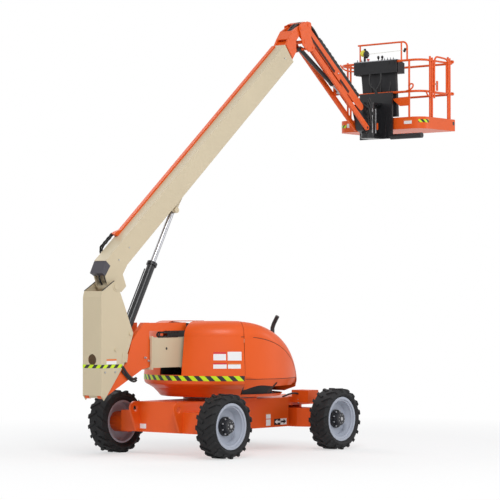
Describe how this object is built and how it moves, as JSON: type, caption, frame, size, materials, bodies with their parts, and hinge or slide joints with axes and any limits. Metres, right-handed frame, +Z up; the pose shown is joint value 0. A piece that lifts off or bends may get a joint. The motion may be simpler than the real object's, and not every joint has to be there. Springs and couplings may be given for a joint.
{
  "type": "articulating boom lift",
  "caption": "Wheeled work platform on an articulated boom: folding tower, telescoping main boom and jib on a swinging turntable, steering wheels and a rotating guarded platform.",
  "frame": {"origin": "on the ground under the middle of the machine's overall length and width, in the pose of the picture", "axes": "+X forward along the chassis towards the platform, +Y to the machine's left, +Z up"},
  "size_m": [7.8091, 2.454, 6.678],
  "materials": {
    "orange_paint": "satin",
    "cream_paint": "satin",
    "rim_paint": "satin",
    "black_paint": "satin",
    "dark_paint": "satin",
    "violet_paint": "satin",
    "tyre_rubber": "matte",
    "rod_chrome": "polished",
    "plain_steel": "machined",
    "black_plastic": "matte",
    "iron": "cast"
  },
  "bodies": {
    "chassis": {"chassis_frame": "orange_paint", "swing_bearing": "plain_steel", "rear_axle": "orange_paint", "steer_axle": "orange_paint"},
    "rear_wheel_near": {"tyre_rear_near": "tyre_rubber", "rim_rear_near": "rim_paint", "hub_rear_near": "dark_paint"},
    "rear_wheel_far": {"tyre_rear_far": "tyre_rubber", "rim_rear_far": "rim_paint", "hub_rear_far": "dark_paint"},
    "knuckle_near": {"steer_knuckle_near": "orange_paint"},
    "knuckle_far": {"steer_knuckle_far": "orange_paint"},
    "front_wheel_near": {"tyre_front_near": "tyre_rubber", "rim_front_near": "rim_paint", "hub_front_near": "dark_paint"},
    "front_wheel_far": {"tyre_front_far": "tyre_rubber", "rim_front_far": "rim_paint", "hub_front_far": "dark_paint"},
    "turntable": {"turntable_pan": "orange_paint", "turntable_frame": "dark_paint", "slot_panels": "dark_paint", "counterweight": "iron", "engine_block": "iron", "tank_block": "dark_paint", "exhaust": "dark_paint", "rear_cover_near": "orange_paint", "rear_cover_far": "orange_paint"},
    "hood_near": {"side_hood_near": "orange_paint"},
    "hood_far": {"side_hood_far": "orange_paint"},
    "tower": {"tower_base": "cream_paint", "tower_powertrack": "black_plastic"},
    "tower_fly": {"tower_fly": "orange_paint"},
    "tower_barrel": {"tower_lift_barrel": "black_paint"},
    "tower_rod": {"tower_lift_rod": "rod_chrome"},
    "upright": {"upright": "cream_paint"},
    "lift_barrel": {"main_lift_barrel": "black_paint"},
    "lift_rod": {"main_lift_rod": "rod_chrome"},
    "boom": {"main_boom": "cream_paint", "boom_tail_cap": "violet_paint", "powertrack_tray": "orange_paint", "boom_powertrack": "black_plastic"},
    "boom_fly": {"main_boom_fly": "orange_paint"},
    "tip": {"tip_bracket": "orange_paint"},
    "jib": {"jib_beam": "orange_paint"},
    "jib_barrel": {"jib_lift_barrel": "black_paint"},
    "jib_rod": {"jib_lift_rod": "rod_chrome"},
    "jib_bars": {"jib_level_bars": "orange_paint"},
    "jib_support": {"jib_support": "black_paint"},
    "platform": {"platform_mount": "black_paint", "platform_floor": "orange_paint", "platform_rails": "orange_paint", "platform_console": "black_plastic"},
    "gate": {"platform_gate": "orange_paint"}
  },
  "joints": [
    {"name": "wheel_rear_near", "type": "hinge", "parent": "chassis", "child": "rear_wheel_near", "pos_m": [-2.275, -1.057, 0.466], "axis": [0, 1, 0], "continuous": true},
    {"name": "wheel_rear_far", "type": "hinge", "parent": "chassis", "child": "rear_wheel_far", "pos_m": [-2.275, 1.057, 0.466], "axis": [0, 1, 0], "continuous": true},
    {"name": "steer_near", "type": "hinge", "parent": "chassis", "child": "knuckle_near", "pos_m": [0.345, -0.79, 0.466], "axis": [0, 0, 1], "range_deg": [-38, 38]},
    {"name": "steer_far", "type": "hinge", "parent": "chassis", "child": "knuckle_far", "pos_m": [0.345, 0.79, 0.466], "axis": [0, 0, 1], "range_deg": [-38, 38]},
    {"name": "wheel_front_near", "type": "hinge", "parent": "knuckle_near", "child": "front_wheel_near", "pos_m": [0.345, -1.057, 0.466], "axis": [0, 1, 0], "continuous": true},
    {"name": "wheel_front_far", "type": "hinge", "parent": "knuckle_far", "child": "front_wheel_far", "pos_m": [0.345, 1.057, 0.466], "axis": [0, 1, 0], "continuous": true},
    {"name": "swing", "type": "hinge", "parent": "chassis", "child": "turntable", "pos_m": [-1.113, 0, 0.85], "axis": [0, 0, 1], "range_deg": [-180, 180]},
    {"name": "hood_near_lift", "type": "hinge", "parent": "turntable", "child": "hood_near", "pos_m": [-1.163, -0.232, 1.8445], "axis": [-0.8808, 0, 0.4735], "range_deg": [0, 75]},
    {"name": "hood_far_lift", "type": "hinge", "parent": "turntable", "child": "hood_far", "pos_m": [-1.163, 0.232, 1.8445], "axis": [0.8808, 0, -0.4735], "range_deg": [0, 75]},
    {"name": "tower_lift", "type": "hinge", "parent": "turntable", "child": "tower", "pos_m": [-0.343, 0, 1.515], "axis": [0, 1, 0], "range_deg": [0, 68]},
    {"name": "tower_extend", "type": "slide", "parent": "tower", "child": "tower_fly", "axis": [-1, 0, 0], "range_m": [0, 1.5]},
    {"name": "upright_level", "type": "hinge", "parent": "tower_fly", "child": "upright", "pos_m": [-3.85, 0, 0.925], "axis": [0, 1, 0], "range_deg": [-68, 0]},
    {"name": "tower_barrel_swing", "type": "hinge", "parent": "turntable", "child": "tower_barrel", "pos_m": [-0.665, 0, 1], "axis": [0, 1, 0], "range_deg": [0, 63.93]},
    {"name": "tower_rod_slide", "type": "slide", "parent": "tower_barrel", "child": "tower_rod", "axis": [-0.9822, 0, 0.1876], "range_m": [0, 0.6669]},
    {"name": "main_lift", "type": "hinge", "parent": "upright", "child": "boom", "pos_m": [-3.601, 0, 2.47], "axis": [0, -1, 0], "range_deg": [-40.2, 31.8]},
    {"name": "main_extend", "type": "slide", "parent": "boom", "child": "boom_fly", "axis": [0.7638, 0, 0.6455], "range_m": [0, 3.9]},
    {"name": "lift_barrel_swing", "type": "hinge", "parent": "upright", "child": "lift_barrel", "pos_m": [-3.408, 0, 1.462], "axis": [0, -1, 0], "range_deg": [-26.34, 20.84]},
    {"name": "lift_rod_slide", "type": "slide", "parent": "lift_barrel", "child": "lift_rod", "axis": [0.4916, 0, 0.8708], "range_m": [-0.6776, 0.5361]},
    {"name": "tip_level", "type": "hinge", "parent": "boom_fly", "child": "tip", "pos_m": [0.67702, 0, 6.54999], "axis": [0, -1, 0], "range_deg": [-31.8, 40.2]},
    {"name": "jib_lift", "type": "hinge", "parent": "tip", "child": "jib", "pos_m": [0.85302, 0, 6.61799], "axis": [0, -1, 0], "range_deg": [-21.4, 108.6]},
    {"name": "jib_bars_swing", "type": "hinge", "parent": "tip", "child": "jib_bars", "pos_m": [0.97602, 0, 6.27899], "axis": [0, -1, 0], "range_deg": [-21.4, 108.6]},
    {"name": "jib_level", "type": "hinge", "parent": "jib", "child": "jib_support", "pos_m": [2.3301, 0, 5.43886], "axis": [0, -1, 0], "range_deg": [-108.6, 21.4]},
    {"name": "jib_barrel_swing", "type": "hinge", "parent": "tip", "child": "jib_barrel", "pos_m": [0.83502, 0, 6.24999], "axis": [0, -1, 0], "range_deg": [-20.34, 103.18]},
    {"name": "jib_rod_slide", "type": "slide", "parent": "jib_barrel", "child": "jib_rod", "axis": [0.8617, 0, -0.5074], "range_m": [-0.1139, 0.5761]},
    {"name": "platform_rotate", "type": "hinge", "parent": "jib_support", "child": "platform", "pos_m": [2.6541, 0, 4.975], "axis": [0, 0, 1], "range_deg": [-90, 90]},
    {"name": "gate_swing", "type": "hinge", "parent": "platform", "child": "gate", "pos_m": [3.2741, -0.844, 5.705], "axis": [0, 0, 1], "range_deg": [0, 85]}
  ],
  "couplings": [
    {"joint": "steer_far", "follows": "steer_near", "ratio": 1},
    {"joint": "upright_level", "follows": "tower_lift", "ratio": -1},
    {"joint": "tower_barrel_swing", "follows": "tower_lift", "ratio": 0.94},
    {"joint": "tower_rod_slide", "follows": "tower_lift", "m_per_rad": 0.5615},
    {"joint": "lift_barrel_swing", "follows": "main_lift", "ratio": 0.655},
    {"joint": "lift_rod_slide", "follows": "main_lift", "m_per_rad": 0.965},
    {"joint": "tip_level", "follows": "main_lift", "ratio": -1},
    {"joint": "jib_bars_swing", "follows": "jib_lift", "ratio": 1},
    {"joint": "jib_level", "follows": "jib_lift", "ratio": -1},
    {"joint": "jib_barrel_swing", "follows": "jib_lift", "ratio": 0.95},
    {"joint": "jib_rod_slide", "follows": "jib_lift", "m_per_rad": 0.3037}
  ]
}
